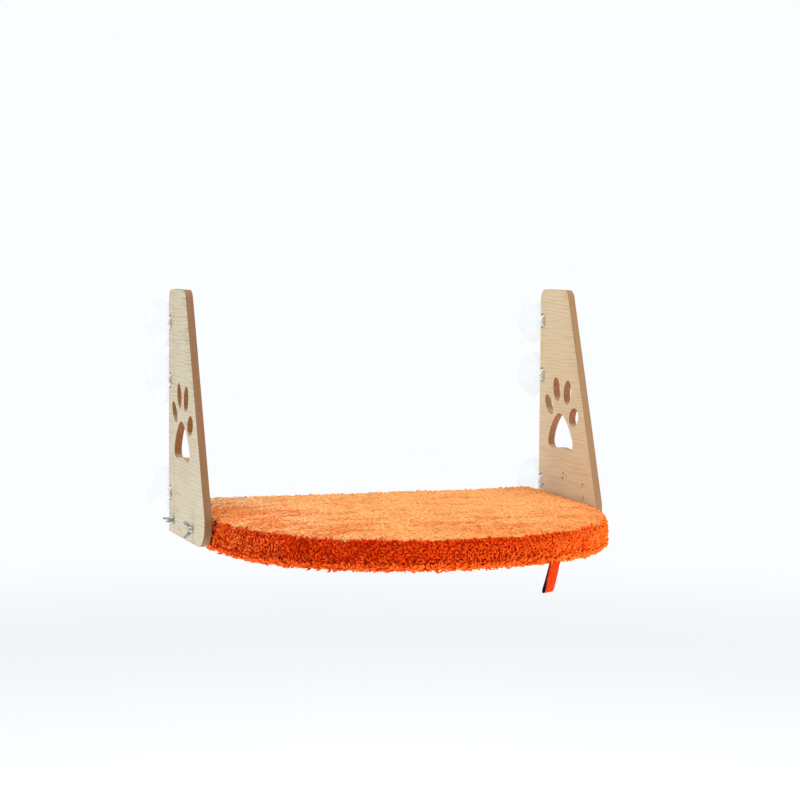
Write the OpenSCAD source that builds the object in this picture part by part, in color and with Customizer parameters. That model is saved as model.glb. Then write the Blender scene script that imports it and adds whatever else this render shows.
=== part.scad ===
// Cat perch that hangs on a window pane: two wooden side panels on six suction cups
// carry a padded, plush-covered shelf, which four wing screws hold between them.
// X runs along the window, Y points into it and Z is up. The origin lies on the plane
// of the pane, midway between the panels and level with their bottom edges.
// Distances called "in" are measured from a panel's window edge towards the room.

/* [Side panels] */
// Height of each side panel
panel_h = 300; // [280:5:340]
// Depth of a panel at the top, to where its edges would meet
panel_top_in = 83; // [76:1:95]
// Depth of a panel at the bottom, to where its edges would meet
panel_bottom_in = 189; // [182:1:210]
// Thickness of the veneered board of a panel
panel_t = 9; // [8:0.5:12]
// Clear width between the two panels
span_w = 490; // [440:5:560]
// Radius of a panel's two top corners
top_corner_r = 14; // [8:1:18]
// Radius of a panel's round front toe
toe_r = 30; // [20:1:34]
// Radius of the bottom corner at the window
heel_r = 2; // [1:0.5:4]

/* [Paw cut-out] */
// Size that the paw print's outline is drawn to
paw_size = 100; // [85:1:104]
// Distance in to the middle of the paw print
paw_in = 68; // [65:1:72]
// Height of the lower edge of the paw's pad
paw_z = 95; // [88:1:104]

/* [Suction cups] */
// Diameter of a suction cup
cup_d = 60; // [50:1:64]
// Distance of the upper cups below the panels' top edge
cup_upper_down = 41.5; // [38:0.5:50]
// Distance of the middle cups below the panels' top edge
cup_middle_down = 112; // [106:0.5:118]
// Height of the lower cups
cup_lower_z = 48.5; // [48:0.5:56]
// Space between the pane and the panels' window edges
pane_gap = 13; // [12:0.5:16]
// Thickness of a cup's thin lip
lip_t = 1; // [0.8:0.1:1.4]
// Width of the flat ring on which a cup seals
seal_w = 1.4; // [1:0.1:2]
// Thickness of a cup at its middle
cup_crown_t = 4; // [3:0.1:4.5]
// Diameter of the neck behind a cup
neck_d = 9; // [8:0.5:9.5]
// Diameter of the knob that sits in a panel
knob_d = 18; // [16:0.5:20]
// Thickness of the knob
knob_t = 5; // [4:0.5:6]
// Distance in to the middle of the knob
knob_in = 7.5; // [7:0.25:8]
// Play between the knob and its round seat
knob_play = 0.4; // [0.3:0.05:0.5]

/* [Wing screws] */
// Diameter of the screw's shank
screw_d = 4; // [3.5:0.1:4.5]
// Length of the shank below the wing head
screw_l = 30; // [29:0.5:34]
// Height of the screws
screw_z = 17; // [15:0.5:18]
// Distance in to the rear screws
screw_rear_in = 24; // [20:1:30]
// Distance in to the front screws
screw_front_in = 120; // [105:1:126]
// Diameter of the wing head's hub
hub_d = 8; // [7.5:0.1:9]
// Height of the wing head's hub
hub_h = 4.6; // [4:0.1:5.5]
// Width over both wings
wing_span = 20; // [18:0.5:24]
// Height of the wings above the washer
wing_h = 10.5; // [9.5:0.25:12]
// Thickness of a wing
wing_t = 1.9; // [1.6:0.1:2.4]
// Diameter of a washer
washer_d = 9; // [8.6:0.1:10]
// Thickness of a washer
washer_t = 0.8; // [0.6:0.1:1]
// Side of a square nut
nut_w = 7; // [6.6:0.1:7.5]
// Thickness of a square nut
nut_t = 2.2; // [2:0.1:2.8]
// How far the screw stands through its nut
screw_tail = 2.5; // [2:0.1:3.5]

/* [Shelf and cushion] */
// Depth of the cushion from its straight back to its round front
cushion_l = 390; // [370:5:420]
// Height of the cushion's top above the panels' bottom edges at the back
cushion_back_z = 39.5; // [38.5:0.5:40]
// Height of the cushion's top above the panels' bottom edges at the front
cushion_front_z = 35; // [34.5:0.5:38]
// How far the cushion hangs below the panels' bottom edges
cushion_drop = 1.5; // [1:0.1:3]
// Extra height of the cushion's crowned middle
crown_h = 3; // [1.5:0.25:4]
// Thickness of the plush cover with its pile
cover_t = 5; // [4:0.25:5.5]
// Thickness of the shelf board
shelf_t = 9; // [8:0.5:10]
// Thickness of the cloth under the cushion
base_t = 1.8; // [1.2:0.1:2]
// Play between the cushion and the side panels
cushion_play = 0.3; // [0.2:0.05:0.5]

/* [Ribbon tag] */
// Width of the folded ribbon
tag_w = 15; // [10:0.5:18]
// Length that the folded ribbon hangs
tag_l = 34; // [25:1:40]
// Thickness of the ribbon
ribbon_t = 0.7; // [0.5:0.05:0.9]
// Distance of the ribbon from the middle of the perch
tag_x = 106; // [60:0.5:140]
// Lean of the ribbon's sides from upright
tag_lean = 20; // [0:1:25]

/* [Hidden] */
$fn = 48;
// One overrun serves all cuts
cut = 1;
// Turn of each wing head as it was left when tightened, from upright
left_rear_turn = 84;
left_front_turn = 8;
right_rear_turn = 128;
right_front_turn = 35;

// Places along Y
panel_y = -pane_gap;
back_y = panel_y - cushion_play;

// Paw print: [across, up, half length, half width] in shares of paw_size, and the tilt
toe_shares = [[-0.37, 0.555, 0.16, 0.09], [-0.135, 0.765, 0.159, 0.104],
    [0.195, 0.745, 0.157, 0.109], [0.395, 0.44, 0.143, 0.115]];
toe_tilts = [-42, -72, 77, 26];
pad_shares = [[-0.04, 0.465], [0.1, 0.42], [0.25, 0.29], [0.355, 0.15], [0.37, 0.06],
    [0.31, 0.002], [0.155, 0.012], [0, 0.022], [-0.155, 0.012], [-0.31, 0.002],
    [-0.385, 0.075], [-0.345, 0.21], [-0.25, 0.34], [-0.14, 0.432]];
toe_points = 32;
pad_steps = 5;

// Cup: the dome leaves a small space to the panel's edge
dome_clear = 2.2;
dome_h = pane_gap - dome_clear;
dome_bow_share = 2.3;
hollow_h = dome_h - cup_crown_t;
hollow_bow_share = 1.9;
dome_steps = 9;
neck_blend_r = 2;
knob_edge_r = 1.6;
knob_back_h = pane_gap + knob_in - knob_t / 2;
knob_front_h = knob_back_h + knob_t;
knob_seat_r = knob_d / 2 + knob_play;
cup_x = span_w / 2 + panel_t / 2;
cup_upper_z = panel_h - cup_upper_down;
cup_middle_z = panel_h - cup_middle_down;

// Screws: clearances of the fits, and the places of washer, head and nut
face_play = 0.05;
thread_play = 0.05;
washer_play = 0.15;
hole_play = 0.25;
slot_play = 0.15;
washer_x = span_w / 2 + panel_t + face_play;
head_x = washer_x + washer_t + face_play;
tip_x = head_x - screw_l;
nut_in_x = tip_x + screw_tail;
tip_chamfer = 0.6;
hub_top_share = 0.84;
// One wing in shares of half the span and of the wing height
wing_shares = [[0.1, 0.09], [0.42, 0.1], [0.72, 0.32], [0.95, 0.62], [1, 0.86],
    [0.9, 1], [0.72, 0.93], [0.52, 0.7], [0.34, 0.5], [0.1, 0.42]];
wing_steps = 4;

// Cushion: half width, centre of its round front and rounding of its rims
cushion_r = span_w / 2 - cushion_play;
round_y = back_y - (cushion_l - span_w / 2);
corner_r = 12;
// Power of the front's superellipse: 2 is a circle, and more gives fuller shoulders
front_power = 2.3;
rim_r = 9;
hem_in = 7;
piece_play = 0.2;
low_z = -cushion_drop;
cover_hole_play = 1;
middle_y = back_y - cushion_l / 2;
// Rings of the cushion's outside, from the crown outwards and down to the hem:
// [share of the plan, share of the rim's inset, share of the hem's inset,
//  share of the height, share of the crown]
outside_shares = [[0.3, 4, 0, 1, 0.93], [0.6, 4, 0, 1, 0.72], [0.86, 4, 0, 1, 0.42],
    [1, 3.4, 0, 1, 0.26], [1, 1.7, 0, 1, 0.1], [1, 0.85, 0, 0.985, 0], [1, 0.4, 0, 0.93, 0],
    [1, 0.12, 0, 0.83, 0], [1, 0, 0, 0.64, 0], [1, 0, 0, 0.4, 0], [1, 0, 0.05, 0.2, 0],
    [1, 0, 0.38, 0.06, 0], [1, 0, 1, 0, 0]];
// Rings of the cover's inside, from the hem up its wall and in under the crown:
// [share of the plan, share of the cover's thickness, share of the inner height,
//  share of the crown]
inside_shares = [[1, 1, 0.2, 0], [1, 1, 0.9, 0], [1, 1.7, 1, 0], [0.8, 3, 1, 0.4],
    [0.45, 3, 1, 0.8]];
corner_steps = 4;
back_steps = 8;
side_steps = 4;
front_steps = 34;

// Foam: both pads stay inside the cover's rounded edges
foam_in = cover_t * 1.7 + piece_play;
shelf_in = cover_t + piece_play;
shelf_low_z = screw_z - shelf_t / 2;
shelf_top_z = screw_z + shelf_t / 2;
base_top_z = low_z + base_t;
top_slope = atan2(cushion_back_z - cushion_front_z, cushion_l);

// Ribbon: [share of half the fold's width, share of the length] down one side
fold_w = 5;
ribbon_shares = [[0.36, 0], [0.42, 0.25], [0.62, 0.55], [0.92, 0.78], [1, 0.9],
    [0.72, 0.98], [0, 1]];
seam_r = cushion_r - hem_in;
tag_share = pow(tag_x / seam_r, front_power);
tag_y = round_y - seam_r * pow(1 - tag_share, 1 / front_power);
tag_angle = atan(pow(tag_share / (1 - tag_share), 1 - 1 / front_power));
tag_top_z = low_z - piece_play;
tag_shift = tag_l * tan(tag_lean);

// Point on a smooth curve between b and c
function between(a, b, c, d, s) =
    (2 * b + (c - a) * s + (2 * a - 5 * b + 4 * c - d) * s * s
    + (3 * b - a - 3 * c + d) * s * s * s) / 2;

// Closed smooth curve through points p, with n steps from each to the next
function smooth_loop(p, n) = let (m = len(p)) [for (i = [0:m - 1]) for (k = [0:n - 1])
    between(p[(i + m - 1) % m], p[i], p[(i + 1) % m], p[(i + 2) % m], k / n)];

// Points of the arc of radius r that rounds corner b between a and c
function round_corner(a, b, c, r, n = 12) = let (
    to_a = (a - b) / norm(a - b),
    to_c = (c - b) / norm(c - b),
    half = acos(to_a * to_c) / 2,
    middle = b + (to_a + to_c) / norm(to_a + to_c) * r / sin(half),
    first = b + to_a * r / tan(half) - middle,
    last = b + to_c * r / tan(half) - middle,
    start = atan2(first.y, first.x),
    sweep = (atan2(last.y, last.x) - start + 540) % 360 - 180)
    [for (k = [0:n]) middle + r * [cos(start + sweep * k / n), sin(start + sweep * k / n)]];

// Outline of points p with its corners rounded to the radii r
function rounded(p, r) = let (m = len(p)) [for (i = [0:m - 1])
    each round_corner(p[(i + m - 1) % m], p[i], p[(i + 1) % m], r[i])];

// Ellipse about c with half axes a and b, tilted
function ellipse(c, a, b, tilt) = [for (k = [0:toe_points - 1])
    let (w = 360 * k / toe_points)
    c + [a * cos(w) * cos(tilt) - b * sin(w) * sin(tilt),
        a * cos(w) * sin(tilt) + b * sin(w) * cos(tilt)]];

// Number a to the power p, with the sign of a
function power(a, p) = sign(a) * pow(abs(a), p);

// Plan of the cushion, drawn in by an inset: straight back and sides and a full front
function cushion_plan(inset) = let (
    w = cushion_r - inset,
    y = back_y - inset,
    c = max(corner_r - inset, corner_r / 4))
    concat(
        [for (k = [0:corner_steps]) let (v = 90 * k / corner_steps)
            [w - c + c * cos(v), y - c + c * sin(v)]],
        [for (k = [1:back_steps - 1]) [(w - c) * (1 - 2 * k / back_steps), y]],
        [for (k = [0:corner_steps]) let (v = 90 + 90 * k / corner_steps)
            [-w + c + c * cos(v), y - c + c * sin(v)]],
        [for (k = [1:side_steps - 1]) [-w, y - c + (round_y - y + c) * k / side_steps]],
        [for (k = [0:front_steps]) let (v = 180 + 180 * k / front_steps)
            [w * power(cos(v), 2 / front_power), round_y + w * power(sin(v), 2 / front_power)]],
        [for (k = [1:side_steps - 1]) [w, round_y + (y - c - round_y) * k / side_steps]]);

// Height of the cushion's rim above its underside at y
function rim_h(y) = cushion_drop + cushion_back_z
    + (cushion_front_z - cushion_back_z) * (back_y - y) / cushion_l;

// One ring of the cushion: an inset plan, shrunk towards its middle, at its height
function ring(plan, inset, h_share, crown_share, low, less) = let (m = [0, middle_y])
    [for (p = cushion_plan(inset)) let (q = m + (p - m) * plan)
        [q.x, q.y, low + h_share * (low_z + rim_h(q.y) - less - low) + crown_share * crown_h]];

// Triangles of the skin over rings of equal length, closed by a pole at either end
function skin_faces(count, n) = concat(
    [for (i = [0:n - 1]) [0, 1 + (i + 1) % n, 1 + i]],
    [for (k = [0:count - 2]) for (i = [0:n - 1]) let (
        a = 1 + k * n + i, b = 1 + k * n + (i + 1) % n, c = a + n, d = b + n)
        each [[a, d, c], [a, b, d]]],
    [for (i = [0:n - 1]) let (a = 1 + (count - 1) * n)
        [1 + count * n, a + i, a + (i + 1) % n]]);

// Plate with the cushion's plan, drawn in by an inset
module plan_plate(inset, t) {
    linear_extrude(t) polygon(cushion_plan(inset));
}

// Runs its children's +Z out of the left panel (side -1) or the right one (side 1)
module outward(side, place_x, y, z) {
    translate([side * place_x, y, z]) rotate([0, side * 90, 0]) children();
}

module panel_outline() {
    difference() {
        polygon(rounded([[0, 0], [0, panel_h], [panel_top_in, panel_h], [panel_bottom_in, 0]],
            [heel_r, top_corner_r, top_corner_r, toe_r]));
        for (z = [cup_upper_z, cup_middle_z, cup_lower_z])
            translate([knob_in, z]) circle(knob_seat_r);
        for (u = [screw_rear_in, screw_front_in])
            translate([u, screw_z]) circle(screw_d / 2 + hole_play);
        for (i = [0:len(toe_shares) - 1]) {
            s = toe_shares[i] * paw_size;
            polygon(ellipse([paw_in + s[0], paw_z + s[1]], s[2], s[3], toe_tilts[i]));
        }
        polygon(smooth_loop([for (p = pad_shares) [paw_in, paw_z] + p * paw_size], pad_steps));
    }
}

module side_panel(side) {
    mirror([side > 0 ? 1 : 0, 0, 0])
        translate([-span_w / 2, panel_y, 0])
            rotate([90, 0, -90]) linear_extrude(panel_t) panel_outline();
}

module left_side_panel() {
    color([0.87, 0.82, 0.70]) side_panel(-1);
}

module right_side_panel() {
    color([0.85, 0.74, 0.57]) side_panel(1);
}

// Half section of a cup: radius across, distance from the pane up
module cup_section() {
    dome = [for (k = [0:dome_steps]) let (
        r = cup_d / 2 + (neck_d / 2 + neck_blend_r - cup_d / 2) * k / dome_steps)
        [r, lip_t + (dome_h - lip_t) * (1 - pow(2 * r / cup_d, dome_bow_share))]];
    blend_h = dome[dome_steps].y + neck_blend_r;
    blend = [for (k = [1:4]) let (v = 22.5 * k)
        [neck_d / 2 + neck_blend_r * (1 - sin(v)), blend_h - neck_blend_r * cos(v)]];
    knob_back = [for (k = [0:3]) let (v = 30 * k)
        [knob_d / 2 + knob_edge_r * (sin(v) - 1), knob_back_h + knob_edge_r * (1 - cos(v))]];
    knob_front = [for (k = [0:3]) let (v = 30 * k)
        [knob_d / 2 + knob_edge_r * (cos(v) - 1), knob_front_h + knob_edge_r * (sin(v) - 1)]];
    hollow = [for (k = [0:dome_steps]) let (r = (cup_d / 2 - seal_w) * k / dome_steps)
        [r, hollow_h * (1 - pow(r / (cup_d / 2 - seal_w), hollow_bow_share))]];
    polygon(concat([[cup_d / 2, 0]], dome, blend, [[neck_d / 2, knob_back_h]],
        knob_back, knob_front, [[0, knob_front_h]], hollow));
}

module suction_cup(side, z) {
    color([0.86, 0.91, 0.93, 0.4])
        translate([side * cup_x, 0, z]) rotate([90, 0, 0]) rotate_extrude($fn = 64) cup_section();
}

module left_upper_cup() { suction_cup(-1, cup_upper_z); }
module left_middle_cup() { suction_cup(-1, cup_middle_z); }
module left_lower_cup() { suction_cup(-1, cup_lower_z); }
module right_upper_cup() { suction_cup(1, cup_upper_z); }
module right_middle_cup() { suction_cup(1, cup_middle_z); }
module right_lower_cup() { suction_cup(1, cup_lower_z); }

module wing() {
    outline = smooth_loop([for (p = wing_shares) [p.x * wing_span / 2, p.y * wing_h]], wing_steps);
    translate([0, wing_t / 2, 0]) rotate([90, 0, 0]) linear_extrude(wing_t) polygon(outline);
}

// Wing screw with its shank down Z and its head above z = 0
module wing_screw(side, in, turn) {
    color([0.66, 0.67, 0.66]) outward(side, head_x, panel_y - in, screw_z)
        rotate([0, 0, turn]) union() {
            cylinder(h = hub_h, d1 = hub_d, d2 = hub_d * hub_top_share);
            translate([0, 0, tip_chamfer - screw_l])
                cylinder(h = screw_l - tip_chamfer + hub_h / 2, d = screw_d);
            translate([0, 0, -screw_l])
                cylinder(h = tip_chamfer, d1 = screw_d - 2 * tip_chamfer, d2 = screw_d);
            wing();
            mirror([1, 0, 0]) wing();
        }
}

module left_rear_wing_screw() { wing_screw(-1, screw_rear_in, left_rear_turn); }
module left_front_wing_screw() { wing_screw(-1, screw_front_in, left_front_turn); }
module right_rear_wing_screw() { wing_screw(1, screw_rear_in, right_rear_turn); }
module right_front_wing_screw() { wing_screw(1, screw_front_in, right_front_turn); }

module washer(side, in) {
    color([0.72, 0.73, 0.74]) outward(side, washer_x, panel_y - in, screw_z) difference() {
        cylinder(h = washer_t, d = washer_d);
        translate([0, 0, -cut]) cylinder(h = washer_t + 2 * cut, r = screw_d / 2 + washer_play);
    }
}

module left_rear_washer() { washer(-1, screw_rear_in); }
module left_front_washer() { washer(-1, screw_front_in); }
module right_rear_washer() { washer(1, screw_rear_in); }
module right_front_washer() { washer(1, screw_front_in); }

// Each place where a screw comes in: [side, Y]
screw_places = [for (side = [-1, 1]) for (u = [screw_rear_in, screw_front_in])
    [side, panel_y - u]];

module square_nuts() {
    color([0.6, 0.6, 0.58]) for (p = screw_places)
        outward(p[0], nut_in_x, p[1], screw_z) difference() {
            translate([-nut_w / 2, -nut_w / 2, 0]) cube([nut_w, nut_w, nut_t]);
            translate([0, 0, -cut]) cylinder(h = nut_t + 2 * cut, r = screw_d / 2 + thread_play);
        }
}

// D-shaped board with a T-shaped slot for each screw and its nut
module shelf_board() {
    shank_w = screw_d + 2 * slot_play;
    nut_slot_w = nut_w + 2 * slot_play;
    edge_x = cushion_r - shelf_in;
    color([0.80, 0.66, 0.46]) difference() {
        translate([0, 0, shelf_low_z]) plan_plate(shelf_in, shelf_t);
        for (p = screw_places) {
            outward(p[0], tip_x - screw_tail, p[1], screw_z)
                translate([-shelf_t / 2 - cut, -shank_w / 2, 0])
                    cube([shelf_t + 2 * cut, shank_w, edge_x - tip_x + screw_tail + cut]);
            outward(p[0], nut_in_x - slot_play, p[1], screw_z)
                translate([-shelf_t / 2 - cut, -nut_slot_w / 2, 0])
                    cube([shelf_t + 2 * cut, nut_slot_w, nut_t + 2 * slot_play]);
        }
    }
}

// Pad on the board, cut to the slope of the cushion's top
module top_foam() {
    low = shelf_top_z + piece_play;
    high = cushion_back_z - cover_t - piece_play;
    color([0.93, 0.90, 0.80]) difference() {
        translate([0, 0, low]) plan_plate(foam_in, high - low + cut);
        translate([-span_w / 2, back_y, high]) rotate([top_slope, 0, 0])
            translate([0, -2 * cushion_l, 0]) cube([span_w, 3 * cushion_l, cushion_l]);
    }
}

module under_foam() {
    low = base_top_z + piece_play;
    color([0.93, 0.90, 0.80]) translate([0, 0, low])
        plan_plate(foam_in, shelf_low_z - piece_play - low);
}

// Plush cover: a crowned top and bulging sides that turn in at the hem, open below
module plush_cover() {
    outside = [for (s = outside_shares)
        ring(s[0], s[1] * rim_r + s[2] * hem_in, s[3], s[4], low_z, 0)];
    lip = [ring(1, hem_in, 0, 0, base_top_z, 0)];
    inside = [for (s = inside_shares)
        ring(s[0], s[1] * cover_t, s[2], s[3], base_top_z, cover_t)];
    rings = concat(outside, lip, inside);
    n = len(rings[0]);
    top = low_z + rim_h(middle_y) + crown_h;
    points = concat([[0, middle_y, top]], [for (r = rings) each r], [[0, middle_y, top - cover_t]]);
    color([0.96, 0.42, 0.10]) difference() {
        polyhedron(points, skin_faces(len(rings), n), convexity = 6);
        for (p = screw_places)
            outward(p[0], cushion_r - 2 * cover_t, p[1], screw_z)
                cylinder(h = 3 * cover_t, r = screw_d / 2 + cover_hole_play, $fn = 24);
    }
}

module base_cloth() {
    color([0.80, 0.33, 0.08]) translate([0, 0, low_z]) plan_plate(hem_in + piece_play, base_t);
}

// Side view of the hanging loop of ribbon, made smaller all round by less
function ribbon_loop(less) = let (half = [for (s = ribbon_shares)
    [max(0, s.x * fold_w / 2 - less), -max(less, s.y * (tag_l - less))]])
    concat(half, [for (i = [len(half) - 2:-1:0]) [-half[i].x, half[i].y]]);

// Front view of the hanging loop: its sides lean, its seam and its fold are level
function ribbon_front() = [[-tag_w / 2, 0], [tag_w / 2, 0],
    [tag_w / 2 - tag_shift, -tag_l], [-tag_w / 2 - tag_shift, -tag_l]];

// Ribbon folded into a hanging loop and sewn into the hem
module ribbon_tag() {
    reach = tag_w + tag_shift;
    color([0.95, 0.42, 0.12])
        translate([tag_x, tag_y, tag_top_z]) rotate([0, 0, tag_angle]) intersection() {
            translate([-reach, 0, 0]) rotate([90, 0, 90]) linear_extrude(2 * reach)
                difference() {
                    polygon(ribbon_loop(0));
                    polygon(ribbon_loop(ribbon_t));
                }
            translate([0, fold_w, 0]) rotate([90, 0, 0]) linear_extrude(2 * fold_w)
                polygon(ribbon_front());
        }
}

left_side_panel();
right_side_panel();
shelf_board();
top_foam();
under_foam();
plush_cover();
base_cloth();
ribbon_tag();
left_upper_cup();
left_middle_cup();
left_lower_cup();
right_upper_cup();
right_middle_cup();
right_lower_cup();
left_rear_wing_screw();
left_front_wing_screw();
right_rear_wing_screw();
right_front_wing_screw();
left_rear_washer();
left_front_washer();
right_rear_washer();
right_front_washer();
square_nuts();
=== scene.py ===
"""Looks of the cat perch: veneered panels, clear cups, zinc wing screws and a plush cushion.

Lengths are in metres in the frame of the CAD model: X along the window, Y into it, Z up.
"""

import math

import bpy
import numpy as np
from mathutils import Matrix, Vector, noise


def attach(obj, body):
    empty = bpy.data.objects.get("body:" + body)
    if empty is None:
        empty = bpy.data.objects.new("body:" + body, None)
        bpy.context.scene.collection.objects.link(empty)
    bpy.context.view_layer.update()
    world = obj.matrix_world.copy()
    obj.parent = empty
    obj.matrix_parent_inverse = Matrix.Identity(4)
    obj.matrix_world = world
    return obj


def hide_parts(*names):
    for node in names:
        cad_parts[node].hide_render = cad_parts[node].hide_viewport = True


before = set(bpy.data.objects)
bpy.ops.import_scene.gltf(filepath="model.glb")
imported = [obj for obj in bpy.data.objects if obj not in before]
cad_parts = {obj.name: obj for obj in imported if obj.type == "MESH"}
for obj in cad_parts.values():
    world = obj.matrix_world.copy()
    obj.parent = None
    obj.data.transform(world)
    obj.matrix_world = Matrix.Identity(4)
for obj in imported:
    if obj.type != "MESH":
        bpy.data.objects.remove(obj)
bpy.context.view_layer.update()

MM = 0.001
SEED = 7

# Sizes that follow the CAD model
PANEL_Y = -13 * MM
PANEL_T = 9 * MM
PANEL_FACE_X = 245 * MM
PANEL_BOTTOM_IN = 189 * MM
CUSHION_R = 244.7 * MM
BACK_Y = -13.3 * MM
ROUND_Y = -158.3 * MM
CUSHION_L = 390 * MM
MIDDLE_Y = BACK_Y - CUSHION_L / 2
CORNER_R = 12 * MM
FRONT_POWER = 2.3
LOW_Z = -1.5 * MM
RIM_R = 9 * MM
HEM_IN = 7 * MM
CROWN_H = 3 * MM
BACK_H = 41 * MM
FRONT_H = 36.5 * MM
TAG_W = 15 * MM
TAG_L = 34 * MM
TAG_X = 106 * MM
TAG_LEAN_DEG = 20
TAG_TWIST_DEG = 8
CUP_X = PANEL_FACE_X + PANEL_T / 2
CUP_Z = (48.5 * MM, 188 * MM, 258.5 * MM)
SEAT_R = 0.016
PAW_Y, PAW_Z = -0.0815, 0.141
PANEL_FRONT_Y = -0.1975
PANEL_SLOPE = 0.334

# Materials


def put(tree, value, socket):
    """Links a socket to another one, or sets its value."""
    if isinstance(value, bpy.types.NodeSocket):
        tree.links.new(value, socket)
    else:
        socket.default_value = value


def add_node(tree, kind, inputs=None, **settings):
    node = tree.nodes.new("ShaderNode" + kind)
    for key, value in settings.items():
        setattr(node, key, value)
    for key, value in (inputs or {}).items():
        put(tree, value, node.inputs[key])
    return node


class Shader:
    """A node material: its Principled shader and short ways to add and link nodes."""

    def __init__(self, name, **sockets):
        self.material = bpy.data.materials.new(name)
        self.material.use_nodes = True
        self.tree = self.material.node_tree
        self.bsdf = self.tree.nodes["Principled BSDF"]
        self.set(**sockets)

    def set(self, **sockets):
        """Plain values of the Principled shader, such as Coat_Weight=0.7."""
        for key, value in sockets.items():
            self.bsdf.inputs[key.replace("_", " ")].default_value = value

    def to(self, value, name):
        put(self.tree, value, self.bsdf.inputs[name])

    def add(self, kind, inputs=None, **settings):
        return add_node(self.tree, kind, inputs, **settings)

    def math(self, operation, a, b=0.0, c=0.0):
        return self.add("Math", {0: a, 1: b, 2: c}, operation=operation).outputs[0]

    def times(self, a, b):
        return self.math("MULTIPLY", a, b)

    def times_plus(self, a, b, c):
        return self.math("MULTIPLY_ADD", a, b, c)

    def mix(self, share, a, b, blend="MIX"):
        node = self.add("Mix", data_type="RGBA", blend_type=blend, clamp_factor=True)
        sockets = {s.identifier: s for s in (*node.inputs, *node.outputs)}
        for key, value in (("Factor_Float", share), ("A_Color", a), ("B_Color", b)):
            put(self.tree, value, sockets[key])
        return sockets["Result_Color"]

    def ramp(self, share, *stops):
        node = self.add("ValToRGB", {"Fac": share})
        elements = node.color_ramp.elements
        while len(elements) < len(stops):
            elements.new(0.5)
        for element, (place, colour) in zip(elements, stops):
            element.position = place
            element.color = (*colour, 1)
        return node.outputs["Color"]

    def coordinates(self, scale=(1, 1, 1), turn=(0, 0, 0)):
        place = self.add("TexCoord").outputs["Object"]
        inputs = {"Vector": place, "Scale": scale, "Rotation": turn}
        return self.add("Mapping", inputs).outputs["Vector"]

    def noise(self, vector, scale, detail=3.0, rough=0.5, distort=0.0):
        shape = {"Scale": scale, "Detail": detail, "Roughness": rough, "Distortion": distort}
        return self.add("TexNoise", {"Vector": vector, **shape}).outputs["Fac"]

    def bump(self, height, depth, strength):
        inputs = {"Height": height, "Distance": depth, "Strength": strength}
        self.to(self.add("Bump", inputs).outputs["Normal"], "Normal")

    def step(self, value, low, high):
        """A smooth share from 0 at low to 1 at high."""
        inputs = {"Value": value, "From Min": low, "From Max": high}
        return self.add("MapRange", inputs, interpolation_type="SMOOTHSTEP").outputs["Result"]

    def near(self, value, place, reach):
        """A share that is 1 where value is at place and falls to 0 at reach from it."""
        off = self.math("ABSOLUTE", self.math("SUBTRACT", value, place))
        return self.step(off, reach, reach * 0.4)

    def tinted(self, base, colour, mask, low, high, most):
        """The base colour, with up to that share of colour where mask goes over low."""
        return self.mix(self.times(self.step(mask, low, high), most), base, colour)


# Distance between the grain's lines, on the whole panel and where it wanders
GRAIN_PITCH = 4.6 * MM
WIDE_PITCH = 6.4 * MM
FLAW_COLOUR = (0.10, 0.045, 0.025, 1)
FINE_LINE_COLOUR = (0.16, 0.11, 0.075, 1)


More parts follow.
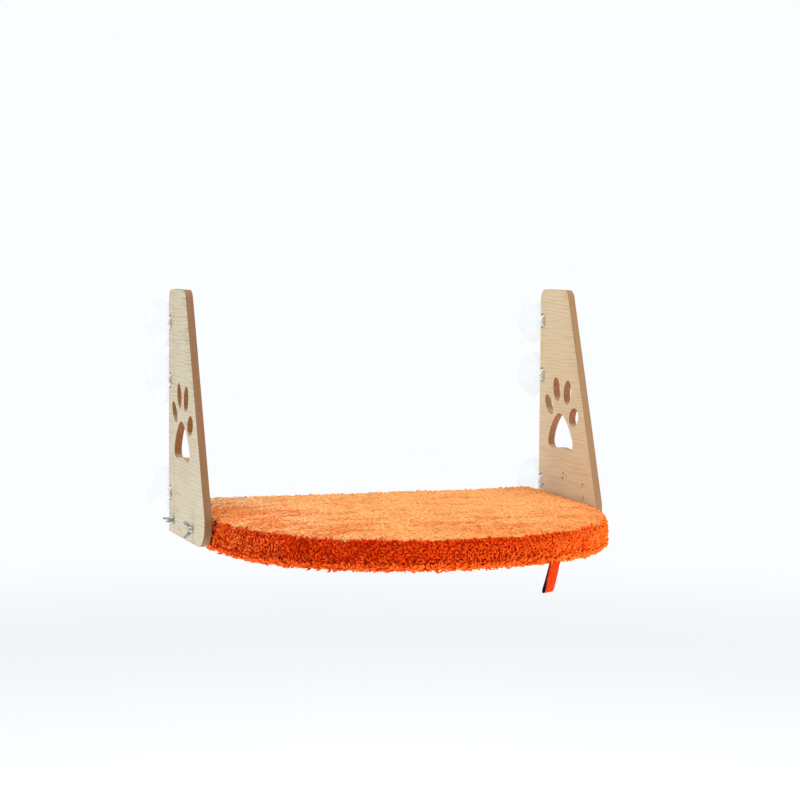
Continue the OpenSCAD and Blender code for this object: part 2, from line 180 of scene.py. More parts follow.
def veneer(name, looks, wavy, marks=(), lines=()):
    """Veneered board: fine level grain on its faces and a brown core on its edges.

    looks has the colours pale, line, dark, core, dust, wall and burn, and rings and
    streak, how strong the grain's lines and the grey streaks are. Below the height wavy
    the grain wanders more. Marks are small dark flaws of the inside (y, z, half width,
    half height), and lines are fine dark ones of the outside (y at the bottom, slope,
    top).
    """
    s = Shader(name, Roughness=0.52, Specular_IOR_Level=0.3)
    xyz = s.add("SeparateXYZ", {"Vector": s.add("TexCoord").outputs["Object"]})
    x, y, z = (xyz.outputs[k] for k in "XYZ")
    # Lines along Y that wander a little in height
    slow = s.math("SUBTRACT", s.noise(s.coordinates((3, 9, 12)), 1.0, 2.0), 0.5)
    quick = s.math("SUBTRACT", s.noise(s.coordinates((8, 38, 30)), 1.0, 2.0), 0.5)
    loose = s.times_plus(s.step(z, wavy, wavy - 0.07), 0.02, 0.007)
    height = s.times_plus(slow, loose, z)
    height = s.times_plus(quick, 0.0016, height)
    long, short = (
        s.add("CombineXYZ", {"X": x, "Y": s.times(y, k), "Z": height}).outputs["Vector"]
        for k in (0.045, 0.14)
    )
    ripple = s.times_plus(slow, 0.006, height)
    bands = s.math("SINE", s.times(ripple, 2 * math.pi / GRAIN_PITCH))
    wide = s.math("SINE", s.times(ripple, 2 * math.pi / WIDE_PITCH))
    wide = s.times(s.step(wide, 0.35, 0.95), s.step(z, wavy, wavy - 0.05))
    broad = s.noise(long, 210, 2.0, 0.5)
    fine = s.noise(long, 560, 3.0, 0.6)
    pores = s.noise(short, 1900, 2.0, 0.6)
    patch = s.noise(s.coordinates((5, 16, 9)), 1.0, 3.0)
    rings = s.times(s.step(bands, 0.2, 0.95), s.step(broad, 0.32, 0.6))
    rings = s.math("MAXIMUM", s.times(wide, s.step(broad, 0.25, 0.6)), rings)
    face = s.mix(s.times(rings, looks["rings"]), looks["pale"], looks["line"])
    face = s.tinted(face, looks["line"], fine, 0.48, 0.64, 0.5)
    face = s.tinted(face, looks["dark"], pores, 0.57, 0.74, 0.32)
    face = s.tinted(face, looks["line"], patch, 0.42, 0.75, 0.22)
    # Grey streaks along the slanting front edge, most of all near the top
    front = s.times_plus(z, -PANEL_SLOPE, s.math("ADD", y, -PANEL_FRONT_Y))
    beside = s.times(s.step(front, 0.03, 0.004), s.step(z, 0.12, 0.27))
    rear = s.times(s.step(y, -0.026, -0.014), s.near(z, 0.222, 0.03))
    streak = s.times(s.step(fine, 0.47, 0.6), s.math("MAXIMUM", beside, rear))
    face = s.mix(s.times(streak, looks["streak"]), face, looks["dark"])
    outside = s.math("GREATER_THAN", s.math("ABSOLUTE", x), CUP_X)
    inside = s.times_plus(outside, -0.85, 0.85)
    for at_y, at_z, half_y, half_z in marks:
        across = s.math("DIVIDE", s.math("SUBTRACT", y, at_y), half_y)
        up = s.math("DIVIDE", s.math("SUBTRACT", z, at_z), half_z)
        far = s.math("ADD", s.times(across, across), s.times(up, up))
        face = s.mix(s.times(s.step(far, 1.7, 0.3), inside), face, FLAW_COLOUR)
    # Fine dark lines on the outside, a little broken
    for at_y, slope, top in lines:
        spot = s.near(s.times_plus(z, slope, y), at_y, 0.9 * MM)
        spot = s.times(spot, s.math("LESS_THAN", z, top))
        broken = s.times_plus(s.step(pores, 0.35, 0.6), 0.6, 0.2)
        face = s.mix(s.times(s.times(spot, broken), outside), face, FINE_LINE_COLOUR)
    dust = s.noise(s.coordinates(), 800, 3.0, 0.7)
    normal = s.add("SeparateXYZ", {"Vector": s.add("TexCoord").outputs["Normal"]})
    edge = cut_edge(s, y, z, normal.outputs["Z"], dust, looks)
    on_face = s.step(s.math("ABSOLUTE", normal.outputs["X"]), 0.6, 0.85)
    s.to(s.mix(on_face, edge, face), "Base Color")
    relief = s.math("ADD", s.times(fine, 0.5), s.times(pores, 0.5))
    relief = s.times_plus(s.math("SUBTRACT", dust, 0.5), 0.5, relief)
    s.bump(relief, 0.0002, 0.5)
    matt = s.times_plus(on_face, -0.18, 0.66)
    s.to(s.times_plus(fine, 0.16, matt), "Roughness")
    return s.material


def cut_edge(s, y, z, facing_up, dust, looks):
    """Pressed core with long fibres, scorched where the paw and the seats are cut. Cut
    walls that face up are paler: painted light from above.
    """
    plies = s.noise(s.coordinates((700, 14, 14)), 1.0, 2.0)
    edge = s.tinted(looks["core"], looks["dust"], dust, 0.4, 0.72, 0.4)
    edge = s.tinted(edge, looks["dust"], plies, 0.42, 0.68, 0.35)
    paw = s.times(s.near(z, PAW_Z, 0.05), s.near(y, PAW_Y, 0.05))
    seats = 0.0
    for seat_z in CUP_Z:
        seats = s.math("MAXIMUM", s.near(z, seat_z, SEAT_R), seats)
    seats = s.times(s.near(y, PANEL_Y, 0.0195), seats)
    inner = s.math("MAXIMUM", s.step(paw, 0.0, 0.05), seats)
    burnt = s.mix(s.step(dust, 0.35, 0.7), looks["wall"], looks["burn"])
    # Cut walls that face up turn paler: painted light from above
    lit_ledge = s.times(s.step(facing_up, 0.5, 0.9), 0.6)
    return s.mix(inner, edge, s.mix(lit_ledge, burnt, looks["line"]))


def plain_wood(name, pale, dark):
    """Bare board that lies inside the cushion."""
    s = Shader(name, Roughness=0.7)
    grain = s.noise(s.coordinates((14, 240, 240)), 1.0, 4.0, 0.6, 0.4)
    s.to(s.mix(s.step(grain, 0.35, 0.7), pale, dark), "Base Color")
    s.bump(grain, 0.0002, 0.5)
    return s.material


def plush(name, root_shade, middle, tip, streak, pale, peach, brushed=0.0):
    """Curly pile: darker between the tufts, as painted shade, and bright at their tips,
    in uneven patches.

    streak colours the long darker strokes where the pile was brushed the other way. The
    tufts with the attribute pale take that colour, or peach towards the left end, as
    painted highlights on their tips, and those where it is negative take streak, as
    painted shade. brushed is 1 for pile that was brushed flat, which adds sheen and more
    strokes at the left end and along the front, and 0 for pile that stands.
    """
    s = Shader(name, Roughness=0.9, Specular_IOR_Level=0.04)
    s.set(Sheen_Weight=0.45 * brushed, Sheen_Roughness=0.5, Sheen_Tint=(1.0, 0.55, 0.25, 1))
    s.set(Subsurface_Weight=0.35 + 0.15 * brushed, Subsurface_Scale=1.5 * MM)
    s.set(Subsurface_Radius=(1.0, 0.3, 0.1))
    along = s.add("Attribute", attribute_name="pile").outputs["Fac"]
    tone = s.add("Attribute", attribute_name="tone").outputs["Fac"]
    light = s.add("Attribute", attribute_name="pale").outputs["Fac"]
    light = s.times(light, s.step(along, 0.4, 0.9))
    stroke = s.noise(s.coordinates((13, 42, 42), (0, 0, 0.12)), 1.0, 3.0, 0.55, 0.3)
    blotch = s.noise(s.coordinates(), 70, 2.0, 0.5)
    # Colour darkens from the tips down to the roots: painted shade between the tufts
    colour = s.ramp(along, (0.0, root_shade), (0.5, middle), (1.0, tip))
    xyz = s.add("SeparateXYZ", {"Vector": s.coordinates()})
    x, y = xyz.outputs["X"], xyz.outputs["Y"]
    # Where pale is positive the tips take painted highlights, and where it is negative
    # painted shade
    colour = s.mix(light, colour, s.mix(s.step(x, 0.0, -0.16), pale, peach))
    colour = s.mix(s.times(light, -1.0), colour, streak)
    left = s.step(x, -0.08, -0.22)
    end = s.times(s.step(x, -0.05, -0.24), s.step(y, -0.05, -0.17))
    end = s.math("MAXIMUM", end, s.times(s.step(y, -0.22, -0.37), 0.5))
    end = s.times(end, brushed)
    ripple = s.noise(s.coordinates((32, 150, 150), (0, 0, 0.1)), 1.0, 3.0, 0.6, 0.3)
    stroke = s.times_plus(s.math("SUBTRACT", ripple, 0.5), 0.25, stroke)
    stroke = s.times_plus(end, 0.23, stroke)
    colour = s.tinted(colour, streak, stroke, 0.54, 0.74, 0.8)
    colour = s.tinted(colour, streak, ripple, 0.5, 0.7, 0.4)
    # The tufts stand further apart in tone at the left end
    uneven = s.times_plus(left, 0.75 - 0.45 * brushed, 0.3 - 0.14 * brushed)
    # On the side the left end is a little darker: painted shade
    level_with_left_shade = s.times_plus(left, 0.05 * (brushed - 1), 0.98)
    shade = s.times_plus(s.math("SUBTRACT", tone, 0.5), uneven, level_with_left_shade)
    shade = s.times(shade, s.times_plus(blotch, 0.3, 0.87))
    # Dull tufts are redder too, as the deep red of shade inside the pile: painted shade
    # colour
    red, blue = s.math("POWER", shade, 0.6), s.math("POWER", shade, 1.6)
    both = s.add("CombineColor", {"Red": red, "Green": shade, "Blue": blue})
    s.to(s.mix(1.0, colour, both.outputs[0], "MULTIPLY"), "Base Color")
    fibre = s.noise(s.coordinates(), 2600, 2.0, 0.6)
    s.bump(fibre, 0.0003, 0.6)
    return s.material


def ground(name, top, side):
    """Backing cloth of the plush, coloured as the pile that stands on it: paler where it
    faces up, as painted light, and deep red elsewhere, as painted shade.
    """
    s = Shader(name, Roughness=0.95, Specular_IOR_Level=0.1)
    normal = s.add("TexCoord").outputs["Normal"]
    up = s.add("SeparateXYZ", {"Vector": normal}).outputs["Z"]
    knit = s.noise(s.coordinates(), 900, 3.0, 0.6)
    # Paler where the cloth faces up, as painted light; deep red on its sides, as painted
    # shade
    colour = s.mix(s.step(up, 0.55, 0.8), side, top)
    colour = s.tinted(colour, side, knit, 0.4, 0.65, 0.4)
    s.to(colour, "Base Color")
    s.bump(knit, 0.0004, 0.7)
    return s.material


def woven(name, pale, dark, pitch, depth):
    """Plain weave with threads of that pitch along X and Y."""
    s = Shader(name, Roughness=0.8, Specular_IOR_Level=0.3)
    s.set(Sheen_Weight=0.3)
    xyz = s.add("SeparateXYZ", {"Vector": s.coordinates()})
    turn = math.pi / pitch
    warp = s.math("SINE", s.times(xyz.outputs["X"], turn))
    weft = s.math("SINE", s.times(xyz.outputs["Y"], turn))
    weave = s.times(warp, weft)
    slub = s.noise(s.coordinates((90, 900, 90)), 1.0, 3.0)
    tone = s.times_plus(weave, 0.25, slub)
    s.to(s.mix(s.step(tone, 0.25, 0.8), dark, pale), "Base Color")
    s.bump(weave, depth, 0.8)
    return s.material


RIB_PITCH = 0.75 * MM


def ribbed(name, pale, dark):
    """Woven ribbon with fine crosswise ribs and firmer edges."""
    s = Shader(name, Roughness=0.6, Specular_IOR_Level=0.03)
    place = s.add("UVMap", uv_map="cloth").outputs["UV"]
    uv = s.add("SeparateXYZ", {"Vector": place})
    ribs = s.math("SINE", s.times(uv.outputs["Y"], 2 * math.pi / RIB_PITCH))
    off = s.math("ABSOLUTE", s.math("SUBTRACT", uv.outputs["X"], TAG_W / 2))
    border = s.step(off, TAG_W / 2 - 1.3 * MM, TAG_W / 2 - 0.7 * MM)
    cloud = s.noise(s.coordinates(), 260, 3.0)
    tone = s.times_plus(ribs, 0.16, cloud)
    tone = s.times_plus(border, -0.2, tone)
    s.to(s.mix(s.step(tone, 0.2, 0.8), dark, pale), "Base Color")
    s.bump(s.times_plus(border, 1.5, ribs), 0.00012, 0.7)
    return s.material


def clear_vinyl():
    """Soft clear plastic, a little uneven.

    The middle of a knob is painted in the colour of the wood behind it, a painted view
    through the plastic, and its thick rim is whitish and less clear: a painted highlight.
    """
    s = Shader("clear_vinyl", Roughness=0.03)
    s.set(Transmission_Weight=1.0, IOR=1.2)
    s.set(Coat_Weight=0.7, Coat_Roughness=0.04, Coat_IOR=1.5)
    cloud = s.noise(s.coordinates(), 60, 2.0)
    xyz = s.add("SeparateXYZ", {"Vector": s.coordinates()})
    x, y, z = (xyz.outputs[k] for k in "XYZ")
    side = s.math("SUBTRACT", s.math("ABSOLUTE", x), CUP_X)
    high = 1.0
    for cup_z in CUP_Z:
        high = s.math("MINIMUM", s.math("ABSOLUTE", s.math("SUBTRACT", z, cup_z)), high)
    radius = s.math("SQRT", s.times_plus(side, side, s.times(high, high)))
    knob = s.step(y, PANEL_Y - 3 * MM, PANEL_Y - 4.5 * MM)
    middle = s.times(knob, s.step(radius, 6.4 * MM, 5.2 * MM))
    # Wood colour in the knob's middle: a painted view of the wood behind it
    grain = s.noise(s.coordinates(), 300, 2.0)
    wood = s.mix(grain, (0.20, 0.11, 0.06, 1), (0.36, 0.23, 0.14, 1))
    s.to(s.mix(middle, (0.97, 0.985, 0.99, 1), wood), "Base Color")
    # Whitish, less clear rim: a painted highlight
    rim = s.math("SUBTRACT", knob, middle)
    s.to(s.times_plus(rim, -0.6, 1.0), "Transmission Weight")
    s.to(s.times_plus(cloud, 0.05, 0.01), "Roughness")
    s.bump(cloud, 0.0003, 0.25)
    return s.material


def zinc(name):
    """Zinc-plated steel: satin, with a cast grain and dull grey patches."""
    s = Shader(name, Metallic=1.0)
    cloud = s.noise(s.coordinates(), 380, 4.0, 0.6)
    pits = s.noise(s.coordinates(), 2400, 3.0, 0.65)
    dull, plain, bright = (0.16, 0.17, 0.16), (0.36, 0.38, 0.36), (0.62, 0.63, 0.60)
    s.to(s.ramp(cloud, (0.3, dull), (0.52, plain), (0.72, bright)), "Base Color")
    s.to(s.times_plus(cloud, 0.3, 0.14), "Roughness")
    s.bump(pits, 0.00015, 0.6)
    return s.material


def thread(name, pale, dark):
    """Sewing yarn, a little darker between its plies, as painted shade."""
    s = Shader(name, Roughness=0.6)
    ply = s.noise(s.coordinates(), 1800, 2.0)
    s.to(s.mix(ply, dark, pale), "Base Color")
    s.bump(ply, 0.0002, 0.6)
    return s.material


# Meshes


def new_object(name, data):
    obj = bpy.data.objects.new(name, data)
    bpy.context.scene.collection.objects.link(obj)
    return obj


def mesh_object(name, points, faces, *materials):
    mesh = bpy.data.meshes.new(name)
    mesh.from_pydata([tuple(p) for p in points], [], [tuple(f) for f in faces])
    mesh.update()
    for material in materials:
        mesh.materials.append(material)
    return new_object(name, mesh)


def smooth(obj):
    obj.data.polygons.foreach_set("use_smooth", [True] * len(obj.data.polygons))
    return obj


def read(items, key):
    """An array with one row of three numbers for each of a mesh's items."""
    flat = np.empty(len(items) * 3)
    items.foreach_get(key, flat)
    return flat.reshape(-1, 3)


def add_modifier(obj, kind, **settings):
    modifier = obj.modifiers.new(kind.lower(), kind)
    for key, value in settings.items():
        setattr(modifier, key, value)
    return modifier


def apply_modifiers(obj):
    graph = bpy.context.evaluated_depsgraph_get()
    mesh = bpy.data.meshes.new_from_object(obj.evaluated_get(graph))
    obj.modifiers.clear()
    obj.data = mesh


def lofted(rings, end, start=None):
    """Points and faces through closed rings, down to a point at the end and from one at
    the start, where it is given."""
    n = len(rings[0])
    ahead = [(i + 1) % n for i in range(n)]
    points, faces, first = [*rings, [end]], [], 0
    if start is not None:
        points, first = [[start], *points], 1
        faces = [(0, 1 + i, 1 + ahead[i]) for i in range(n)]
    for k in range(len(rings) - 1):
        a, b = first + k * n, first + (k + 1) * n
        faces += [(a + i, b + i, b + ahead[i], a + ahead[i]) for i in range(n)]
    last = first + (len(rings) - 1) * n
    faces += [(last + n, last + ahead[i], last + i) for i in range(n)]
    return np.concatenate(points), faces


def unit(v):
    return v / np.maximum(np.linalg.norm(v, axis=-1, keepdims=True), 1e-12)


def rising(value, start, reach):
    """A share from 0 at start to 1 at reach past it."""
    return np.clip((value - start) / reach, 0, 1)


# Cushion


def power(a, p):
    """Power of a signed number's size, with its sign kept."""
    return np.sign(a) * np.abs(a) ** p


def cushion_plan(inset, corner=8, back=60, side=16, front=150):
    """Outline of the cushion in plan, drawn in by inset, as in the CAD model."""
    w, y = CUSHION_R - inset, BACK_Y - inset
    c = max(CORNER_R - inset, CORNER_R / 4)
    quarter = np.radians(np.linspace(0, 90, corner + 1))
    share = np.linspace(0, 1, back + 1)[1:-1]
    down = np.linspace(0, 1, side + 1)[1:-1]
    half = np.radians(np.linspace(180, 360, front + 1))
    rows = [
        np.c_[w - c + c * np.cos(quarter), y - c + c * np.sin(quarter)],
        np.c_[(w - c) * (1 - 2 * share), np.full(len(share), y)],
        np.c_[-w + c - c * np.sin(quarter), y - c + c * np.cos(quarter)],
        np.c_[np.full(len(down), -w), y - c + (ROUND_Y - y + c) * down],
        np.c_[
            w * power(np.cos(half), 2 / FRONT_POWER),
            ROUND_Y + w * power(np.sin(half), 2 / FRONT_POWER),
        ],
        np.c_[np.full(len(down), w), ROUND_Y + (y - c - ROUND_Y) * down],
    ]
    return np.concatenate(rows)


def rim_height(y):
    """Height of the rim, which falls towards the front."""
    return LOW_Z + BACK_H + (FRONT_H - BACK_H) * (BACK_Y - y) / CUSHION_L


# Rings from the crown down to the hem and in under the cushion: share of the plan,
# inset in rim radii, share of the hem's inset, share of the height, share of the crown
SKIN_RINGS = [
    (0.15, 4, 0, 1, 0.98),
    (0.3, 4, 0, 1, 0.93),
    (0.45, 4, 0, 1, 0.84),
    (0.6, 4, 0, 1, 0.72),
    (0.74, 4, 0, 1, 0.58),
    (0.86, 4, 0, 1, 0.42),
    (0.94, 4, 0, 1, 0.33),
    (1, 3.4, 0, 1, 0.26),
    (1, 1.7, 0, 1, 0.1),
    (1, 0.85, 0, 0.985, 0),
    (1, 0.4, 0, 0.93, 0),
    (1, 0.12, 0, 0.83, 0),
    (1, 0, 0, 0.64, 0),
    (1, 0, 0, 0.4, 0),
    (1, 0, 0.05, 0.2, 0),
    (1, 0, 0.38, 0.06, 0),
    (1, 0, 1, 0, 0),
    (0.85, 0, 1, 0, 0),
    (0.6, 0, 1, 0, 0),
    (0.3, 0, 1, 0, 0),
]


def skin_form(inset, low, less):
    """Closed form of the cushion, inset all round, with its underside at low."""
    middle = np.array([0, MIDDLE_Y])
    rings = []
    for plan, rim, hem, high, crown in SKIN_RINGS:
        p = cushion_plan(inset + rim * RIM_R + hem * HEM_IN)
        q = middle + (p - middle) * plan
        z = low + high * (rim_height(q[:, 1]) - less - low) + crown * CROWN_H
        rings.append(np.c_[q, z])
    top = (0, MIDDLE_Y, rim_height(MIDDLE_Y) - less + CROWN_H)
    return lofted(rings, (0, MIDDLE_Y, low), top)


# Where the cloth lies inside the plan and below the rim, and its underside
SKIN_IN = 2.6 * MM
SKIN_LESS = 0.6 * MM
SKIN_LOW = -0.3 * MM
# What it keeps clear of the cushion's sides and back, and its shallow dents above DENT_Z
SKIN_CLEAR = 1.2 * MM
DENT_H = 0.9 * MM
DENT_Z = 24 * MM
# How much smaller it starts, its even mesh, and how far it may swell: nothing at its
# underside, and PUFF_MOST where it is PUFF_HIGH above that
SLACK_IN = 1.5 * MM
SLACK_LESS = 1.2 * MM
VOXEL = 5.4 * MM
PUFF_MOST = 4.5 * MM
PUFF_HIGH = 9 * MM
PUFF_FRAMES = 20
PUFF = {
    "quality": 6,
    "mass": 0.25,
    "tension_stiffness": 12,
    "compression_stiffness": 12,
    "shear_stiffness": 5,
    "bending_stiffness": 0.4,
    "use_pressure": True,
    "uniform_pressure_force": 4,
}


def blow_up(obj):
    """Swells a closed mesh by a cloth simulation with pressure inside."""
    scene = bpy.context.scene
    cloth = add_modifier(obj, "CLOTH")
    for key, value in PUFF.items():
        setattr(cloth.settings, key, value)
    cloth.settings.effector_weights.gravity = 0
    cloth.collision_settings.use_collision = False
    cloth.point_cache.frame_start, cloth.point_cache.frame_end = 1, PUFF_FRAMES
    for f in range(1, PUFF_FRAMES + 1):
        scene.frame_set(f)
    apply_modifiers(obj)
    scene.frame_set(1)


def stuffed_skin(material):
    """Cushion's cloth body: blown up by a cloth simulation from a slightly small form."""
    points, faces = skin_form(SKIN_IN + SLACK_IN, SKIN_LOW, SKIN_LESS + SLACK_LESS)
    obj = mesh_object("cushion_body", points, faces, material)
    add_modifier(obj, "REMESH", mode="VOXEL", voxel_size=VOXEL)
    apply_modifiers(obj)
    start = read(obj.data.vertices, "co")
    facing = read(obj.data.vertices, "normal")
    blow_up(obj)
    moved = read(obj.data.vertices, "co") - start
    # The board and foam hold the cloth out, and the board keeps the underside flat
    out = np.sum(moved * facing, axis=1)
    moved += facing * np.maximum(0, -out)[:, None]
    cap = PUFF_MOST * rising(start[:, 2], SKIN_LOW, PUFF_HIGH)
    far = np.linalg.norm(moved, axis=1)
    points = start + moved * np.minimum(1, cap / np.maximum(far, 1e-9))[:, None]
    # Loose stuffing leaves shallow dents and swells in the top
    for i, p in enumerate(points):
        if start[i, 2] > DENT_Z:
            v = Vector((p[0] * 17, p[1] * 30, 3.1))
            points[i, 2] += DENT_H * noise.noise(v)
    inner = CUSHION_R - SKIN_CLEAR
    points[:, 0] = np.clip(points[:, 0], -inner, inner)
    points[:, 1] = np.minimum(points[:, 1], BACK_Y - SKIN_CLEAR)
    obj.data.vertices.foreach_set("co", points.ravel())
    obj.data.update()
    add_modifier(obj, "SUBSURF", levels=1, render_levels=1)
    apply_modifiers(obj)
    return smooth(obj)


def depth_in_plan(points):
    """How far each point lies inside the cushion's outline in plan."""
    x, y = np.abs(points[:, 0]), points[:, 1]
    ahead = np.maximum(ROUND_Y - y, 0)
    radius = ((x / CUSHION_R) ** FRONT_POWER + (ahead / CUSHION_R) ** FRONT_POWER) ** (
        1 / FRONT_POWER
    )
    return np.minimum(CUSHION_R * (1 - radius), BACK_Y - y)


def sway_turns(roots):
    """A slowly changing angle in plan for the pile at each root."""
    turns = [noise.noise(Vector((p[0] * 9, p[1] * 9, 5))) for p in roots]
    return np.array(turns) * 2 * math.pi * 1.6


# Profile of a tuft: shares of its length, and shares of its radius there. Each end is one
# quad, so a tuft has four sides.
TUFT_SIDES = 4
TUFT_PROFILE = [0, 0.35, 0.8, 1], [0.75, 1, 0.9, 0.4]
ROOT_DEPTH = 1 * MM


def pile(roots, normals, rng, look, lean, size):
    """Curly tufts, each a tapered and slightly flat tube that rises and curls over."""
    n, sides, steps = len(roots), TUFT_SIDES, look["steps"]
    random = unit(rng.normal(size=(n, 3)))
    across = unit(np.cross(normals, random) + 1e-9)
    across = unit(across + lean * look["lean"])
    across = unit(across - normals * np.sum(across * normals, axis=1)[:, None])
    third = np.cross(normals, across)
    length = look["long"] * size * rng.uniform(0.7, 1.3, n)
    start = np.radians(rng.uniform(*look["rise"], n))
    curl = np.radians(rng.uniform(*look["curl"], n))
    twist = np.radians(rng.uniform(-1, 1, n) * look["twist"])
    radius = look["thick"] * rng.uniform(0.75, 1.25, n)
    place = roots - normals * ROOT_DEPTH
    rows, ways = [place], []
    for k in range(steps):
        share = (k + 0.5) / steps
        tilt = start + curl * share
        spin = twist * share
        flat = across * np.cos(spin)[:, None] + third * np.sin(spin)[:, None]
        way = normals * np.cos(tilt)[:, None] + flat * np.sin(tilt)[:, None]
        ways.append(way)
        place = place + way * (length / steps)[:, None]
        rows.append(place)
    ways = [ways[0], *[unit(a + b) for a, b in zip(ways, ways[1:])], ways[-1]]
    profile = np.interp(np.linspace(0, 1, steps + 1), *TUFT_PROFILE)
    points = np.empty((n, steps + 1, sides, 3))
    for k in range(steps + 1):
        wide = unit(np.cross(ways[k], normals + 0.01))
        high = np.cross(ways[k], wide) * look["flat"]
        for j in range(sides):
            a = 2 * math.pi * (j + 0.5) / sides
            ring = wide * math.cos(a) + high * math.sin(a)
            points[:, k, j] = rows[k] + ring * (radius * profile[k])[:, None]
    return points


# What the pile leaves free beside and before the panels, and how far it goes behind them
PILE_BESIDE = 0.15 * MM
PILE_BEFORE = 1.5 * MM
PILE_BEHIND = 1.8 * MM


def clear_of_neighbours(points):
    """Presses pile flat where a side panel or the pane's cups are."""
    beside = points[..., 1] > PANEL_Y - PANEL_BOTTOM_IN - PILE_BEFORE
    limit = np.where(beside, PANEL_FACE_X - PILE_BESIDE, 1.0)
    x = points[..., 0]
    points[..., 0] = np.sign(x) * np.minimum(np.abs(x), limit)
    points[..., 1] = np.minimum(points[..., 1], PANEL_Y + PILE_BEHIND)
    return points


def tuft_faces(steps, sides):
    """Quads of one tuft: round it from step to step, then its two ends."""
    quads = []
    for k in range(steps):
        for j in range(sides):
            a, b = k * sides + j, k * sides + (j + 1) % sides
            quads.append((a, b, b + sides, a + sides))
    quads.append(tuple(range(sides - 1, -1, -1)))
    quads.append(tuple(range(steps * sides, steps * sides + sides)))
    return np.array(quads)


def tuft_map(n, steps, sides):
    """Map corners with a cell for each tuft, so that a bake keeps their colours apart."""
    wide = math.ceil(math.sqrt(n))
    cell = np.stack([np.arange(n) % wide, np.arange(n) // wide], axis=1)
    corners = []
    for k in range(steps):
        low, high = k / (steps + 1), (k + 1) / (steps + 1)
        for j in range(sides):
            a, b = j / sides, (j + 1) / sides
            corners += [(a, low), (b, low), (b, high), (a, high)]
    cap = steps / (steps + 1)
    for a, b in ((0, 0.5), (0.5, 1)):
        corners += [(a, cap), (b, cap), (b, 1), (a, 1)]
    return (cell[:, None] + 0.1 + 0.8 * np.array(corners)[None]) / wide


def pile_object(name, points, roots, normals, pale, soft, rng, material):
    """One mesh of tufts, with their height, tones and paleness as attributes. Paleness is
    painted light on their tips, or painted shade where it is negative.
    """
    height = np.sum((points - roots[:, None, None]) * normals[:, None, None], axis=-1)
    low, high = np.percentile(height, (12, 92))
    height = np.clip((height - low) / (high - low), 0, 1)
    points = clear_of_neighbours(points)
    n, steps, sides = len(points), points.shape[1] - 1, points.shape[2]
    per = (steps + 1) * sides
    faces = (np.arange(n) * per)[:, None, None] + tuft_faces(steps, sides)[None]
    flat = faces.reshape(-1, 4)
    mesh = bpy.data.meshes.new(name)
    mesh.vertices.add(n * per)
    mesh.vertices.foreach_set("co", points.reshape(-1))
    mesh.loops.add(flat.size)
    mesh.loops.foreach_set("vertex_index", flat.ravel())
    mesh.polygons.add(len(flat))
    mesh.polygons.foreach_set("loop_start", np.arange(len(flat)) * 4)
    mesh.update(calc_edges=True)
    tone = np.repeat(rng.uniform(0, 1, n), per)
    light = np.repeat(pale, per)
    for key, values in (("pile", height.ravel()), ("tone", tone), ("pale", light)):
        mesh.attributes.new(key, "FLOAT", "POINT").data.foreach_set("value", values)
    layer = mesh.uv_layers.new(name="OFBake")
    layer.data.foreach_set("uv", tuft_map(n, steps, sides).reshape(-1))
    mesh.materials.append(material)
    obj = smooth(new_object(name, mesh))
    if soft.any():
        # Brushed pile shades like velvet: its tufts take part of the cloth's normal
        own = read(mesh.vertex_normals, "vector")
        part = np.repeat(soft, per)[:, None]
        both = unit(own * (1 - part) + np.repeat(normals, per, axis=0) * part)
        mesh.normals_split_custom_set_from_vertices(both.tolist())
    return obj


def pile_roots(body, rng):
    """Where the tufts stand on the cushion's cloth, and the cloth's normals there."""
    faces = body.data.polygons
    roots, normals = read(faces, "center"), read(faces, "normal")
    # None under the cushion but in the hem's fringe, nor where a panel presses it flat
    under = (normals[:, 2] < -0.6) & (depth_in_plan(roots) > SKIN_IN + 14 * MM)
    x, y, z = roots.T
    pressed = (np.abs(x) > PANEL_FACE_X - 3.5 * MM) & (y > PANEL_Y - 168 * MM)
    pressed &= (z > 3 * MM) & (z < 30 * MM)
    keep = ~under & ~pressed
    roots, normals = roots[keep], normals[keep]
    # The curls of the sides are finer, so more of them stand there, most at the right
    side = np.abs(normals[:, 2]) < 0.72
    again = rng.uniform(0, 1, len(roots)) < np.where(side, 0.9, 0.4)
    right = side & (rng.uniform(-60 * MM, 60 * MM, len(roots)) < roots[:, 0])
    roots = np.concatenate([roots, roots[again], roots[right]])
    normals = np.concatenate([normals, normals[again], normals[right]])
    return roots + rng.uniform(-1.3, 1.3, roots.shape) * MM, normals


# How the tufts of each part of the cushion grow. Angles are from the cloth's normal.
PILES = {
    "top": {
        "long": 4.3 * MM,
        "thick": 1.15 * MM,
        "flat": 0.8,
        "steps": 2,
        "lean": 0.9,
        "rise": (45, 75),
        "curl": (15, 80),
        "twist": 120,
    },
    "side": {
        "long": 6.2 * MM,
        "thick": 1.05 * MM,
        "flat": 1.0,
        "steps": 3,
        "lean": 0.3,
        "rise": (5, 45),
        "curl": (90, 200),
        "twist": 150,
    },
    "hem": {
        "long": 8.0 * MM,
        "thick": 1.5 * MM,
        "flat": 1.0,
        "steps": 3,
        "lean": 0.8,
        "rise": (0, 30),
        "curl": (70, 150),
        "twist": 90,
    },
}
# The top is made in four pieces and the side in three, parted at these places along X,
# and the top also at the middle
TOP_CUT = 0.11
SIDE_CUT = 0.09


def pile_part(name, some, found, rng, material, look):
    """Grows the tufts of one part and puts them on the perch."""
    roots, normals, lean, size, pale, soft = (a[some] for a in found)
    tufts = pile(roots, normals, rng, look, lean, size)
    obj = pile_object(name, tufts, roots, normals, pale, soft, rng, material)
    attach(obj, "perch")


